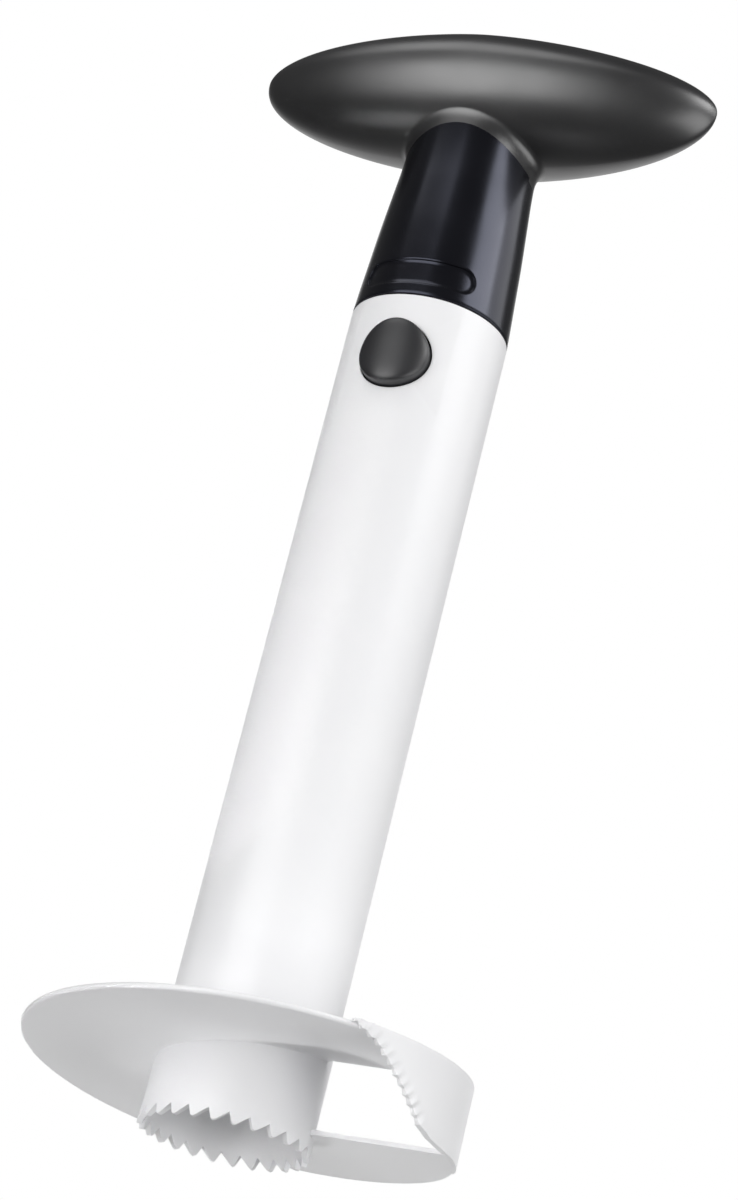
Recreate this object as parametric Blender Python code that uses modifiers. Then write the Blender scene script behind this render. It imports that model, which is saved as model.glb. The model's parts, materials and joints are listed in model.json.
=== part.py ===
"""Pineapple slicer: a coring tube with a one-turn helical blade and a lift-off T-handle.

Blender 4.5, metres, +Z up. The origin is on the tool's axis, level with the tips of the
corer's teeth. +X runs along the grip and along the blade's leading lip. The front button
faces -Y.
"""
import math

import bmesh
import bpy
from mathutils import Matrix

# Clearances and overruns
GAP = 0.0003            # between neighbouring pieces
OVERRUN = 0.002         # how far a cutter runs past what it cuts
WELD = 0.00001          # merge distance

# Coring tube
TUBE_R = 0.0168
TUBE_WALL = 0.0019
TUBE_TOP = 0.180        # rim of the tube above the teeth tips
RIM_CHAMFER = 0.0004
SPIGOT_STEP = 0.0010    # reduction of the lower end, which plugs into the corer ring
SPIGOT_LENGTH = 0.010

# Corer ring
CORER_STEP = 0.0002     # ring proud of the tube
CORER_HEIGHT = 0.0230
TEETH_FLARE = 0.0002    # tips proud of the ring
TEETH_EDGE = 0.0010     # thickness left at the tips
TEETH_GROUND = 0.0045   # height of the ground zone inside the ring
TOOTH_DEPTH = 0.0023
TOOTH_COUNT = 26

# Helical blade
BLADE_R = 0.044
BLADE_THICKNESS = 0.0013
BLADE_PITCH = 0.015     # slice height of one turn
BLADE_CHAMFER = 0.0003
LIP_HEIGHT = 0.0045     # underside of the leading lip above the teeth tips
LIP_EDGE_SHARE = 0.60   # thickness left at the lip's ground edge
ROOT_WIDTH = 0.0016     # collar on top of the blade, around the corer ring
ROOT_HEIGHT = 0.0026

# Serrated outer wall of the blade
WALL_THICKNESS = 0.0013
WALL_SINK = 0.0002      # depth of the rim fused into the wall
WALL_PROUD = 0.0004     # wall above the blade's top face
WALL_RISE = 0.0002      # wall's foot above the lip's underside
WALL_START = math.radians(-45.2)
WALL_END = math.radians(24)
WALL_CORNER = 0.0030    # rounding of the wall's rear top corner
SERRATION_COUNT = 13
SERRATION_DEPTH = 0.0008

# Serrated edge of the wall, as shares of the way from its start to the lip and of the pitch
WALL_EDGE_SHARES = ((0.00, 1.065), (0.17, 0.885), (0.60, 0.135), (0.73, 0.03))

# Neck, whose outline runs from its foot to its top as shares of height and of TUBE_R
NECK_LENGTH = 0.0492
NECK_WALL = 0.0020
NECK_OUTLINE_SHARES = (
    (0.00, 1.000), (0.10, 0.985), (0.25, 0.958), (0.40, 0.931),
    (0.60, 0.885), (0.72, 0.855), (0.79, 0.851), (0.86, 0.868), (1.00, 0.876),
)
NECK_WEB = 0.0030        # plate that the screw passes through
NECK_CUP = 0.0125        # depth of the cup above the web
LABEL_LENGTH = 0.0262
LABEL_HEIGHT = 0.0058
LABEL_DEPTH = 0.0005
LABEL_RISE = 0.0056      # middle of the label recess above the neck's foot

# Plug that carries the buttons
PLUG_LENGTH = 0.035      # below the tube's rim, with its cap
PLUG_WALL = 0.0020
PLUG_NOSE = 0.0040       # height of the plug's spigot inside the neck
CAP_THICKNESS = 0.0020
CAP_CHAMFER = 0.0010
CAP_COLLAR = 0.0030
SPRING_WALL = 0.0015     # plate on the cap that both springs lean on
SPRING_WALL_WIDTH = 0.0150

# Buttons and their springs
BUTTON_R = 0.0074
BUTTON_DROP = 0.0143     # centre of the buttons below the tube's rim
BUTTON_PROUD = 0.0032    # middle of the face in front of the tube
BUTTON_FALL = 0.0023     # fall of the face from its middle to its sides
BUTTON_DOME = 0.0015     # depth of the round edge
DOME_POWER = 4           # above 2 the dome has a flatter middle
BUTTON_WALL = 0.0016
BUTTON_FACE = 0.0036     # thickness behind the middle of the face
FLANGE_R = 0.0092
FLANGE_THICKNESS = 0.0016
PEG_R = 0.0028
PEG_LENGTH = 0.0030
SPRING_R = 0.0036        # mean radius of the coil
SPRING_WIRE_R = 0.0003
SPRING_TURNS = 6

# Grip
GRIP_LENGTH = 0.1025
GRIP_DEPTH = 0.038
GRIP_LIFT = 0.0087       # widest level of the grip above the neck's top
GRIP_RISE = 0.0111
GRIP_DROP = 0.0165
GRIP_SKIN = 0.0030
PLAN_POWER_SHARE = 1.17  # above 1 the plan view is pointed, below 1 it is square
SIDE_POWER_SHARE = 0.88

# Clamping screw
SCREW_R = 0.0020
SCREW_HEAD_R = 0.0036
SCREW_HEAD_HEIGHT = 0.0024
SCREW_BITE = 0.0170      # length inside the grip core
SCREW_SOCKET_R = 0.0016
SCREW_SOCKET_DEPTH = 0.0014
WASHER_R = 0.0045
WASHER_THICKNESS = 0.0008

# Mesh density
ROUND_STEPS = 48
TUBE_STEPS = 64
SMALL_STEPS = 24
BLADE_STEPS = 72
TOOTH_STEPS = 5
ARC_STEPS = 6
GRIP_STEPS = 40
CORE_STEPS = 28
SPRING_STEPS = 9

# Heights and radii that follow from the sizes
TURN = 2 * math.pi
BORE_R = TUBE_R - TUBE_WALL
SPIGOT_R = TUBE_R - SPIGOT_STEP
CORER_R = TUBE_R + CORER_STEP
TEETH_R = CORER_R + TEETH_FLARE
TEETH_EDGE_R = TEETH_R - TEETH_EDGE
TUBE_FOOT = CORER_HEIGHT + GAP
SPIGOT_FOOT = TUBE_FOOT - SPIGOT_LENGTH
NECK_FOOT = TUBE_TOP + GAP
NECK_TOP = NECK_FOOT + NECK_LENGTH
WEB_TOP = NECK_TOP - NECK_CUP
WEB_FOOT = WEB_TOP - NECK_WEB
PLUG_R = BORE_R - GAP
CHAMBER_R = PLUG_R - PLUG_WALL
CAP_FOOT = TUBE_TOP - PLUG_LENGTH
PLUG_FOOT = CAP_FOOT + CAP_THICKNESS + GAP
PLUG_TOP = TUBE_TOP + PLUG_NOSE
BUTTON_HEIGHT = TUBE_TOP - BUTTON_DROP
CHAMBER_TOP = BUTTON_HEIGHT + FLANGE_R + GAP
HEAD_FOOT = CHAMBER_TOP + GAP
WASHER_FOOT = HEAD_FOOT + SCREW_HEAD_HEIGHT + GAP
HEAD_SEAT = WASHER_FOOT + WASHER_THICKNESS + GAP
HEAD_WELL_R = WASHER_R + GAP
SCREW_HOLE_R = SCREW_R + GAP
GRIP_HEIGHT = NECK_TOP + GRIP_LIFT
CORE_FOOT = WEB_TOP + GAP
SCREW_TIP = CORE_FOOT + SCREW_BITE
BUTTON_REACH = TUBE_R + BUTTON_PROUD
FLANGE_REACH = math.sqrt(CHAMBER_R ** 2 - FLANGE_R ** 2) - GAP
CUP_REACH = BUTTON_REACH - BUTTON_FACE


def clear_scene():
    for old in list(bpy.data.objects):
        bpy.data.objects.remove(old, do_unlink=True)


def new_collection(name):
    collection = bpy.data.collections.new(name)
    bpy.context.scene.collection.children.link(collection)
    return collection


def new_material(name, color, roughness, metallic=0.0):
    material = bpy.data.materials.new(name)
    material.use_nodes = True
    shader = material.node_tree.nodes["Principled BSDF"]
    shader.inputs["Base Color"].default_value = (*color, 1.0)
    shader.inputs["Roughness"].default_value = roughness
    shader.inputs["Metallic"].default_value = metallic
    return material


def new_piece(name, bm, material):
    """A visible sub-part made from a bmesh."""
    mesh = bpy.data.meshes.new(name)
    bm.to_mesh(mesh)
    bm.free()
    mesh.materials.append(material)
    piece = bpy.data.objects.new(name, mesh)
    PARTS.objects.link(piece)
    return piece


def new_cutter(name, bm):
    """A hidden helper for a Boolean modifier."""
    mesh = bpy.data.meshes.new(name)
    bm.to_mesh(mesh)
    bm.free()
    cutter = bpy.data.objects.new(name, mesh)
    CUTTERS.objects.link(cutter)
    cutter.hide_render = True
    cutter.display_type = "WIRE"
    return cutter


def combine(piece, other, operation):
    boolean = piece.modifiers.new(other.name, "BOOLEAN")
    boolean.operation = operation
    boolean.object = other
    boolean.solver = "EXACT"


def smooth(piece, angle=math.radians(35)):
    piece.data.shade_smooth()
    piece.data.set_sharp_from_angle(angle=angle)


def outline_mesh(points):
    """A closed wire of (radius, height) points in the XZ plane."""
    bm = bmesh.new()
    verts = [bm.verts.new((r, 0, z)) for r, z in points]
    for start, end in zip(verts, verts[1:] + verts[:1]):
        bm.edges.new((start, end))
    return bm


def turned_ring(name, points, steps, material):
    """A ring turned about Z; the outline runs down its outer side."""
    piece = new_piece(name, outline_mesh(points), material)
    screw = piece.modifiers.new("turn", "SCREW")
    screw.axis = "Z"
    screw.angle = TURN
    screw.steps = steps
    screw.render_steps = steps
    screw.use_merge_vertices = True
    screw.merge_threshold = WELD
    return piece


def rod_mesh(radius, foot, top, steps=SMALL_STEPS, top_radius=None):
    """A closed cylinder or cone about Z between two heights."""
    bm = bmesh.new()
    bmesh.ops.create_cone(
        bm, cap_ends=True, segments=steps, radius1=radius,
        radius2=radius if top_radius is None else top_radius, depth=top - foot,
    )
    bmesh.ops.translate(bm, verts=bm.verts, vec=(0, 0, (top + foot) / 2))
    return bm


def block_mesh(low, high):
    """A closed box between two corners."""
    bm = bmesh.new()
    bmesh.ops.create_cube(bm, size=1)
    size = [b - a for a, b in zip(low, high)]
    middle = [(a + b) / 2 for a, b in zip(low, high)]
    bmesh.ops.scale(bm, verts=bm.verts, vec=size)
    bmesh.ops.translate(bm, verts=bm.verts, vec=middle)
    return bm


def along_y(bm, height):
    """Lay a mesh made about Z along Y, through the axis at a height."""
    turn = Matrix.Rotation(math.radians(90), 4, "X")
    bmesh.ops.transform(bm, matrix=turn, verts=bm.verts)
    bmesh.ops.translate(bm, verts=bm.verts, vec=(0, 0, height))
    return bm


def neck_radius(height):
    """The neck's outer radius at a height, along its outline of shares."""
    share = (height - NECK_FOOT) / NECK_LENGTH
    for (low, r_low), (high, r_high) in zip(NECK_OUTLINE_SHARES, NECK_OUTLINE_SHARES[1:]):
        if low <= share <= high:
            return TUBE_R * (r_low + (r_high - r_low) * (share - low) / (high - low))
    return TUBE_R * NECK_OUTLINE_SHARES[-1][1]


def grip_form(inset, steps):
    """The grip's pointed oval form, drawn in all round by an inset."""
    bm = bmesh.new()
    bmesh.ops.create_uvsphere(bm, u_segments=steps, v_segments=steps // 2, radius=1)
    half_length = GRIP_LENGTH / 2 - inset
    half_depth = GRIP_DEPTH / 2 - inset
    for vert in bm.verts:
        x, y, z = vert.co
        ring = math.hypot(x, y)
        level = ring ** SIDE_POWER_SHARE
        along = abs(x / ring) ** PLAN_POWER_SHARE if ring > WELD else 0
        across = abs(y / ring) ** PLAN_POWER_SHARE if ring > WELD else 0
        reach = (GRIP_RISE if z > 0 else GRIP_DROP) - inset
        vert.co = (
            math.copysign(half_length * level * along, x),
            math.copysign(half_depth * level * across, y),
            GRIP_HEIGHT + reach * z,
        )
    return bm


def button_hole_cutter():
    bm = rod_mesh(BUTTON_R + GAP, -TUBE_R - OVERRUN, TUBE_R + OVERRUN, ROUND_STEPS)
    return new_cutter("button_holes", along_y(bm, BUTTON_HEIGHT))


def build_tube(material, button_holes):
    tube = turned_ring("tube", (
        (TUBE_R - RIM_CHAMFER, TUBE_TOP),
        (TUBE_R, TUBE_TOP - RIM_CHAMFER),
        (TUBE_R, TUBE_FOOT),
        (SPIGOT_R, TUBE_FOOT),
        (SPIGOT_R, SPIGOT_FOOT),
        (BORE_R, SPIGOT_FOOT),
        (BORE_R, TUBE_TOP),
    ), TUBE_STEPS, material)
    combine(tube, button_holes, "DIFFERENCE")
    return tube


def tooth_height(step):
    """Height of the corer's lower edge: a valley, a blunt tip, then a slope back up."""
    place = step % TOOTH_STEPS
    if place == 0:
        return TOOTH_DEPTH
    slope_steps = TOOTH_STEPS - 2
    return TOOTH_DEPTH * max(place - 2, 0) / slope_steps


def build_corer_ring(material):
    steps = TOOTH_COUNT * TOOTH_STEPS
    socket_floor = SPIGOT_FOOT - GAP
    bm = outline_mesh((
        (CORER_R, CORER_HEIGHT),
        (CORER_R, TEETH_GROUND),
        (TEETH_R, 0),
        (TEETH_EDGE_R, 0),
        (BORE_R, TEETH_GROUND),
        (BORE_R, socket_floor),
        (SPIGOT_R + GAP, socket_floor),
        (SPIGOT_R + GAP, CORER_HEIGHT),
    ))
    bmesh.ops.spin(
        bm, geom=bm.verts[:] + bm.edges[:], cent=(0, 0, 0), axis=(0, 0, 1),
        angle=TURN, steps=steps, use_merge=True,
    )
    bmesh.ops.remove_doubles(bm, verts=bm.verts, dist=WELD)
    for vert in bm.verts:
        if vert.co.z < WELD:
            turn = math.atan2(vert.co.y, vert.co.x) % TURN
            vert.co.z = tooth_height(round(turn / TURN * steps))
    bmesh.ops.recalc_face_normals(bm, faces=bm.faces)
    return new_piece("corer_ring", bm, material)


def helix_rise(turn):
    """Height of the blade's underside at an angle from the leading lip."""
    return LIP_HEIGHT + BLADE_PITCH * turn / TURN


def blade_disc_mesh():
    """The helical disc: its section swept once round the corer ring."""
    root = CORER_R + GAP
    section = (
        (root, 0),
        (BLADE_R - BLADE_CHAMFER, 0),
        (BLADE_R, BLADE_CHAMFER),
        (BLADE_R, BLADE_THICKNESS - BLADE_CHAMFER),
        (BLADE_R - BLADE_CHAMFER, BLADE_THICKNESS),
        (root + ROOT_WIDTH, BLADE_THICKNESS),
        (root + ROOT_WIDTH, ROOT_HEIGHT),
        (root, ROOT_HEIGHT),
    )
    bm = bmesh.new()
    face = bm.faces.new([bm.verts.new((r, 0, LIP_HEIGHT + z)) for r, z in section])
    bmesh.ops.spin(
        bm, geom=[face] + face.edges[:] + face.verts[:], cent=(0, 0, 0), axis=(0, 0, 1),
        dvec=(0, 0, BLADE_PITCH / BLADE_STEPS), angle=TURN, steps=BLADE_STEPS,
    )
    grind_lip(bm, face)
    bmesh.ops.recalc_face_normals(bm, faces=bm.faces)
    return bm


def grind_lip(bm, lip):
    """Thin the leading lip from above to an edge."""
    bmesh.ops.scale(
        bm, verts=lip.verts, vec=(1, 1, LIP_EDGE_SHARE),
        space=Matrix.Translation((0, 0, -LIP_HEIGHT)),
    )


def point_along(path, share):
    """A point at a share of the way along a flat path, with the path's direction there."""
    runs = [math.dist(a, b) for a, b in zip(path, path[1:])]
    rest = share * sum(runs)
    for start, end, run in zip(path, path[1:], runs):
        if rest <= run:
            break
        rest -= run
    direction = ((end[0] - start[0]) / run, (end[1] - start[1]) / run)
    return (start[0] + direction[0] * rest, start[1] + direction[1] * rest), direction


def serration(path):
    """Tips on a flat path and valleys to its left."""
    points = []
    for tooth in range(SERRATION_COUNT):
        tip, _ = point_along(path, tooth / SERRATION_COUNT)
        (x, y), (dx, dy) = point_along(path, (tooth + 0.5) / SERRATION_COUNT)
        points.append(tip)
        points.append((x - SERRATION_DEPTH * dy, y + SERRATION_DEPTH * dx))
    points.append(path[-1])
    return points


def wall_outline(radius):
    """The outer wall laid flat: distance round the rim against height above the helix."""
    start = WALL_START * radius
    end = WALL_END * radius
    top = BLADE_PITCH + BLADE_THICKNESS + WALL_PROUD
    points = serration([
        (start * (1 - along), BLADE_PITCH * level) for along, level in WALL_EDGE_SHARES
    ])
    points.append((start * (1 - WALL_EDGE_SHARES[-1][0]) / 2, WALL_RISE))
    points.append((end, WALL_RISE))
    for step in range(ARC_STEPS + 1):
        turn = TURN / 4 * step / ARC_STEPS
        points.append((
            end - WALL_CORNER * (1 - math.cos(turn)),
            top - WALL_CORNER * (1 - math.sin(turn)),
        ))
    points.append((start, top))
    return points


def flat_plate(outline, thickness):
    """A closed plate in the XY plane, from a filled 2D curve."""
    curve = bpy.data.curves.new("plate", "CURVE")
    curve.dimensions = "2D"
    curve.fill_mode = "BOTH"
    curve.extrude = thickness / 2
    spline = curve.splines.new("POLY")
    spline.points.add(len(outline) - 1)
    for point, (x, y) in zip(spline.points, outline):
        point.co = (x, y, 0, 1)
    spline.use_cyclic_u = True
    guide = bpy.data.objects.new("plate", curve)
    CUTTERS.objects.link(guide)
    bpy.context.view_layer.update()
    evaluated = guide.evaluated_get(bpy.context.evaluated_depsgraph_get())
    mesh = bpy.data.meshes.new_from_object(evaluated)
    bm = bmesh.new()
    bm.from_mesh(mesh)
    bmesh.ops.remove_doubles(bm, verts=bm.verts, dist=WELD)
    bpy.data.meshes.remove(mesh)
    bpy.data.objects.remove(guide, do_unlink=True)
    return bm


def slice_across(bm, start, end, steps):
    """Cut a flat mesh at even steps along X, so that it can bend."""
    for step in range(1, steps):
        bmesh.ops.bisect_plane(
            bm, geom=bm.verts[:] + bm.edges[:] + bm.faces[:], dist=WELD,
            plane_co=(start + (end - start) * step / steps, 0, 0), plane_no=(1, 0, 0),
        )


def build_outer_wall():
    """The serrated wall at the blade's rim, bent round the axis along the helix."""
    radius = BLADE_R - WALL_SINK + WALL_THICKNESS / 2
    bm = flat_plate(wall_outline(radius), WALL_THICKNESS)
    steps = round((WALL_END - WALL_START) / TURN * BLADE_STEPS)
    slice_across(bm, WALL_START * radius, WALL_END * radius, steps)
    for vert in bm.verts:
        along, height, out = vert.co
        turn = along / radius
        vert.co = (
            (radius + out) * math.cos(turn),
            (radius + out) * math.sin(turn),
            helix_rise(turn) + height,
        )
    bmesh.ops.recalc_face_normals(bm, faces=bm.faces)
    return new_cutter("outer_wall", bm)


def build_blade(material):
    blade = new_piece("blade", blade_disc_mesh(), material)
    combine(blade, build_outer_wall(), "UNION")
    return blade


def label_cutter():
    """A slot with round ends, bent round the neck to cut the label recess."""
    radius = neck_radius(NECK_FOOT + LABEL_RISE)
    half_run = (LABEL_LENGTH - LABEL_HEIGHT) / 2
    end_r = LABEL_HEIGHT / 2
    points = []
    for side in (1, -1):
        for step in range(2 * ARC_STEPS + 1):
            turn = -TURN / 4 + TURN / 2 * step / (2 * ARC_STEPS)
            points.append((
                side * (half_run + end_r * math.cos(turn)),
                side * end_r * math.sin(turn),
            ))
    bm = flat_plate(points, 2 * LABEL_DEPTH)
    slice_across(bm, -LABEL_LENGTH / 2, LABEL_LENGTH / 2, 2 * ARC_STEPS)
    for vert in bm.verts:
        along, height, out = vert.co
        turn = along / radius
        level = NECK_FOOT + LABEL_RISE + height
        reach = neck_radius(level) + out
        vert.co = (reach * math.sin(turn), -reach * math.cos(turn), level)
    bmesh.ops.recalc_face_normals(bm, faces=bm.faces)
    return new_cutter("label_recess", bm)


def build_neck(material):
    shell = [
        (NECK_FOOT + NECK_LENGTH * level, TUBE_R * share)
        for level, share in NECK_OUTLINE_SHARES
    ]
    outer = [(r, z) for z, r in reversed(shell)]
    inner = [(r - NECK_WALL, z) for z, r in shell if z < WEB_FOOT]
    web_r = neck_radius(WEB_FOOT) - NECK_WALL
    cup_r = neck_cup_radius()
    neck = turned_ring("neck", outer + inner + [
        (web_r, WEB_FOOT),
        (SCREW_HOLE_R, WEB_FOOT),
        (SCREW_HOLE_R, WEB_TOP),
        (cup_r, WEB_TOP),
        (cup_r, NECK_TOP),
    ], ROUND_STEPS, material)
    combine(neck, label_cutter(), "DIFFERENCE")
    return neck


def neck_cup_radius():
    """Radius of the neck's upper cup, a wall inside its narrowest outline."""
    return TUBE_R * min(share for _, share in NECK_OUTLINE_SHARES) - NECK_WALL


def build_plug(material, button_holes):
    nose_r = neck_radius(PLUG_TOP) - NECK_WALL - GAP
    plug = turned_ring("plug", (
        (nose_r, PLUG_TOP),
        (nose_r, TUBE_TOP),
        (PLUG_R, TUBE_TOP),
        (PLUG_R, PLUG_FOOT),
        (CHAMBER_R, PLUG_FOOT),
        (CHAMBER_R, CHAMBER_TOP),
        (HEAD_WELL_R, CHAMBER_TOP),
        (HEAD_WELL_R, HEAD_SEAT),
        (SCREW_HOLE_R, HEAD_SEAT),
        (SCREW_HOLE_R, PLUG_TOP),
    ), ROUND_STEPS, material)
    combine(plug, button_holes, "DIFFERENCE")
    return plug


def build_plug_cap(material):
    disc = rod_mesh(PLUG_R, CAP_FOOT, CAP_FOOT + CAP_THICKNESS, ROUND_STEPS)
    lower_rim = [e for e in disc.edges if max(v.co.z for v in e.verts) < CAP_FOOT + WELD]
    bmesh.ops.bevel(
        disc, geom=lower_rim, affect="EDGES", offset=CAP_CHAMFER, segments=2,
        profile=0.5, material=-1,
    )
    cap = new_piece("plug_cap", disc, material)
    inside_disc = CAP_FOOT + CAP_THICKNESS / 2
    collar_top = CAP_FOOT + CAP_THICKNESS + CAP_COLLAR
    collar = rod_mesh(CHAMBER_R - GAP, inside_disc, collar_top, ROUND_STEPS)
    combine(cap, new_cutter("cap_collar", collar), "UNION")
    wall = block_mesh(
        (-SPRING_WALL_WIDTH / 2, -SPRING_WALL / 2, inside_disc),
        (SPRING_WALL_WIDTH / 2, SPRING_WALL / 2, BUTTON_HEIGHT + SPRING_R + PEG_R),
    )
    combine(cap, new_cutter("cap_spring_wall", wall), "UNION")
    return cap


def button_outline():
    """The button's half section as (radius, reach) points, from its face to its peg."""
    back = FLANGE_REACH - FLANGE_THICKNESS
    cup_r = BUTTON_R - BUTTON_WALL
    face = []
    for step in range(ARC_STEPS + 1):
        share = math.sin(TURN / 4 * step / ARC_STEPS)
        depth = BUTTON_DOME * (1 - (1 - share ** DOME_POWER) ** (1 / DOME_POWER))
        face.append((BUTTON_R * share, BUTTON_REACH - depth))
    return face + [
        (BUTTON_R, FLANGE_REACH),
        (FLANGE_R, FLANGE_REACH),
        (FLANGE_R, back),
        (cup_r, back),
        (cup_r, CUP_REACH),
        (PEG_R, CUP_REACH),
        (PEG_R, CUP_REACH - PEG_LENGTH),
        (0, CUP_REACH - PEG_LENGTH),
    ]


def build_button(name, side, material):
    """A hollow button with an inner flange; side is -1 at the front and 1 at the rear."""
    bm = bmesh.new()
    verts = [bm.verts.new((r, 0, reach)) for r, reach in button_outline()]
    for start, end in zip(verts, verts[1:]):
        bm.edges.new((start, end))
    bmesh.ops.spin(
        bm, geom=bm.verts[:] + bm.edges[:], cent=(0, 0, 0), axis=(0, 0, 1),
        angle=TURN, steps=ROUND_STEPS, use_merge=True,
    )
    bmesh.ops.remove_doubles(bm, verts=bm.verts, dist=WELD)
    for vert in bm.verts:
        if vert.co.z > BUTTON_REACH - BUTTON_DOME - WELD:
            vert.co.z -= BUTTON_FALL * (vert.co.x / BUTTON_R) ** 2
    turn = Matrix.Rotation(-side * math.radians(90), 4, "X")
    bmesh.ops.transform(bm, matrix=turn, verts=bm.verts)
    bmesh.ops.recalc_face_normals(bm, faces=bm.faces)
    button = new_piece(name, bm, material)
    button.location = (0, 0, BUTTON_HEIGHT)
    return button


def build_spring(name, side, material):
    """A helical spring from the cap's wall to the bottom of a button's cup."""
    start = SPRING_WALL / 2 + GAP + SPRING_WIRE_R
    end = CUP_REACH - GAP - SPRING_WIRE_R
    count = SPRING_TURNS * SPRING_STEPS
    curve = bpy.data.curves.new(name, "CURVE")
    curve.dimensions = "3D"
    curve.bevel_depth = SPRING_WIRE_R
    curve.bevel_resolution = 1
    curve.use_fill_caps = True
    spline = curve.splines.new("POLY")
    spline.points.add(count)
    for step, point in enumerate(spline.points):
        turn = TURN * step / SPRING_STEPS
        along = start + (end - start) * step / count
        point.co = (SPRING_R * math.cos(turn), side * along, SPRING_R * math.sin(turn), 1)
    curve.materials.append(material)
    spring = bpy.data.objects.new(name, curve)
    spring.location = (0, 0, BUTTON_HEIGHT)
    PARTS.objects.link(spring)
    return spring


def build_screw(material):
    screw = new_piece(
        "handle_screw", rod_mesh(SCREW_HEAD_R, HEAD_FOOT, HEAD_FOOT + SCREW_HEAD_HEIGHT), material,
    )
    shank = rod_mesh(SCREW_R, HEAD_FOOT + SCREW_HEAD_HEIGHT / 2, SCREW_TIP)
    combine(screw, new_cutter("screw_shank", shank), "UNION")
    socket = rod_mesh(SCREW_SOCKET_R, HEAD_FOOT - OVERRUN, HEAD_FOOT + SCREW_SOCKET_DEPTH, 6)
    combine(screw, new_cutter("screw_socket", socket), "DIFFERENCE")
    return screw


def build_washer(material):
    return turned_ring("screw_washer", (
        (WASHER_R, WASHER_FOOT + WASHER_THICKNESS),
        (WASHER_R, WASHER_FOOT),
        (SCREW_HOLE_R, WASHER_FOOT),
        (SCREW_HOLE_R, WASHER_FOOT + WASHER_THICKNESS),
    ), SMALL_STEPS, material)


def build_grip_core(material):
    hub_r = neck_cup_radius() - GAP
    core = new_piece("grip_core", grip_form(GRIP_SKIN + GAP, CORE_STEPS), material)
    room = rod_mesh(neck_radius(NECK_TOP) + GAP, CORE_FOOT - OVERRUN, NECK_TOP + GAP, ROUND_STEPS)
    combine(core, new_cutter("core_neck_room", room), "DIFFERENCE")
    hub = rod_mesh(hub_r, CORE_FOOT, GRIP_HEIGHT, ROUND_STEPS)
    combine(core, new_cutter("core_hub", hub), "UNION")
    hole = rod_mesh(SCREW_HOLE_R, CORE_FOOT - OVERRUN, SCREW_TIP + GAP)
    combine(core, new_cutter("core_screw_hole", hole), "DIFFERENCE")
    return core


def build_soft_grip(material):
    grip = new_piece("soft_grip", grip_form(0, GRIP_STEPS), material)
    inside = grip_form(GRIP_SKIN, CORE_STEPS)
    combine(grip, new_cutter("grip_inside", inside), "DIFFERENCE")
    hole = rod_mesh(
        neck_radius(NECK_TOP) + GAP, GRIP_HEIGHT - GRIP_DROP - OVERRUN, NECK_TOP + GAP, ROUND_STEPS,
    )
    combine(grip, new_cutter("grip_neck_hole", hole), "DIFFERENCE")
    hub_room = rod_mesh(neck_cup_radius(), NECK_TOP, GRIP_HEIGHT, ROUND_STEPS)
    combine(grip, new_cutter("grip_hub_room", hub_room), "DIFFERENCE")
    return grip


def new_axis(name, height):
    """An empty on the tool's axis that carries the pieces of one moving group."""
    axis = bpy.data.objects.new(name, None)
    axis.location = (0, 0, height)
    PARTS.objects.link(axis)
    return axis


def carry(axis, pieces):
    for piece in pieces:
        piece.parent = axis
        piece.matrix_parent_inverse = Matrix.Translation(-axis.location)


def build_slicer():
    white = new_material("white_plastic", (0.86, 0.86, 0.87), 0.30)
    satin = new_material("soft_black", (0.035, 0.036, 0.038), 0.55)
    gloss = new_material("gloss_black", (0.012, 0.012, 0.015), 0.15)
    core = new_material("core_plastic", (0.05, 0.05, 0.055), 0.45)
    dark = new_material("button_grey", (0.050, 0.050, 0.054), 0.45)
    steel = new_material("steel", (0.60, 0.60, 0.62), 0.30, 1.0)

    button_holes = button_hole_cutter()
    stem = [build_tube(white, button_holes), build_corer_ring(white), build_blade(white)]
    handle = [
        build_soft_grip(satin), build_grip_core(core), build_neck(gloss),
        build_plug(core, button_holes), build_plug_cap(core),
        build_screw(steel), build_washer(steel),
        build_spring("spring_front", -1, steel), build_spring("spring_rear", 1, steel),
        build_button("button_front", -1, dark), build_button("button_rear", 1, dark),
    ]
    for piece in stem + handle:
        if piece.type == "MESH":
            smooth(piece)
    carry(new_axis("slicer_axis", 0), stem)
    carry(new_axis("handle_lift_axis", TUBE_TOP), handle)


clear_scene()
PARTS = new_collection("pineapple_slicer")
CUTTERS = new_collection("cutters")
build_slicer()
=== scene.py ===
# %% [markdown]
# # Dressing a pineapple slicer
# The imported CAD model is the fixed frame. Every visible surface is built again around it
# with fine, smooth meshes and real finishes, while the hidden hardware keeps its CAD solids.

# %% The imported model
import json
import math

import bmesh
import bpy
from mathutils import Matrix, Vector


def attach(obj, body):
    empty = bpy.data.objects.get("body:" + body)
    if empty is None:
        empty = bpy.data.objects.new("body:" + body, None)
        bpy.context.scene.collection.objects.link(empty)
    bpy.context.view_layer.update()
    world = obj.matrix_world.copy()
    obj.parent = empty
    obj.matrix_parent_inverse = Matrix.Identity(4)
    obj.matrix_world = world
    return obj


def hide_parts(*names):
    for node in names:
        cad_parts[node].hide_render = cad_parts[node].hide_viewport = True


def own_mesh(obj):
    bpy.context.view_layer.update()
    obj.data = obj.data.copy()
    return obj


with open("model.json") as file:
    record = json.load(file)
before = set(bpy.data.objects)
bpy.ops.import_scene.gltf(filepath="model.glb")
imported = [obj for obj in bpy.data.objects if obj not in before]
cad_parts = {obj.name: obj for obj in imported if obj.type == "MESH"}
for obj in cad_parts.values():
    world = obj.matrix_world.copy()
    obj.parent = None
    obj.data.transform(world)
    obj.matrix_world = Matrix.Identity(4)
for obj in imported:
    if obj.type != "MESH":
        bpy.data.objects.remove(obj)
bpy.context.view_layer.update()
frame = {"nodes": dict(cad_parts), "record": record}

print("nodes:", ", ".join(sorted(frame["nodes"])))

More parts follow.
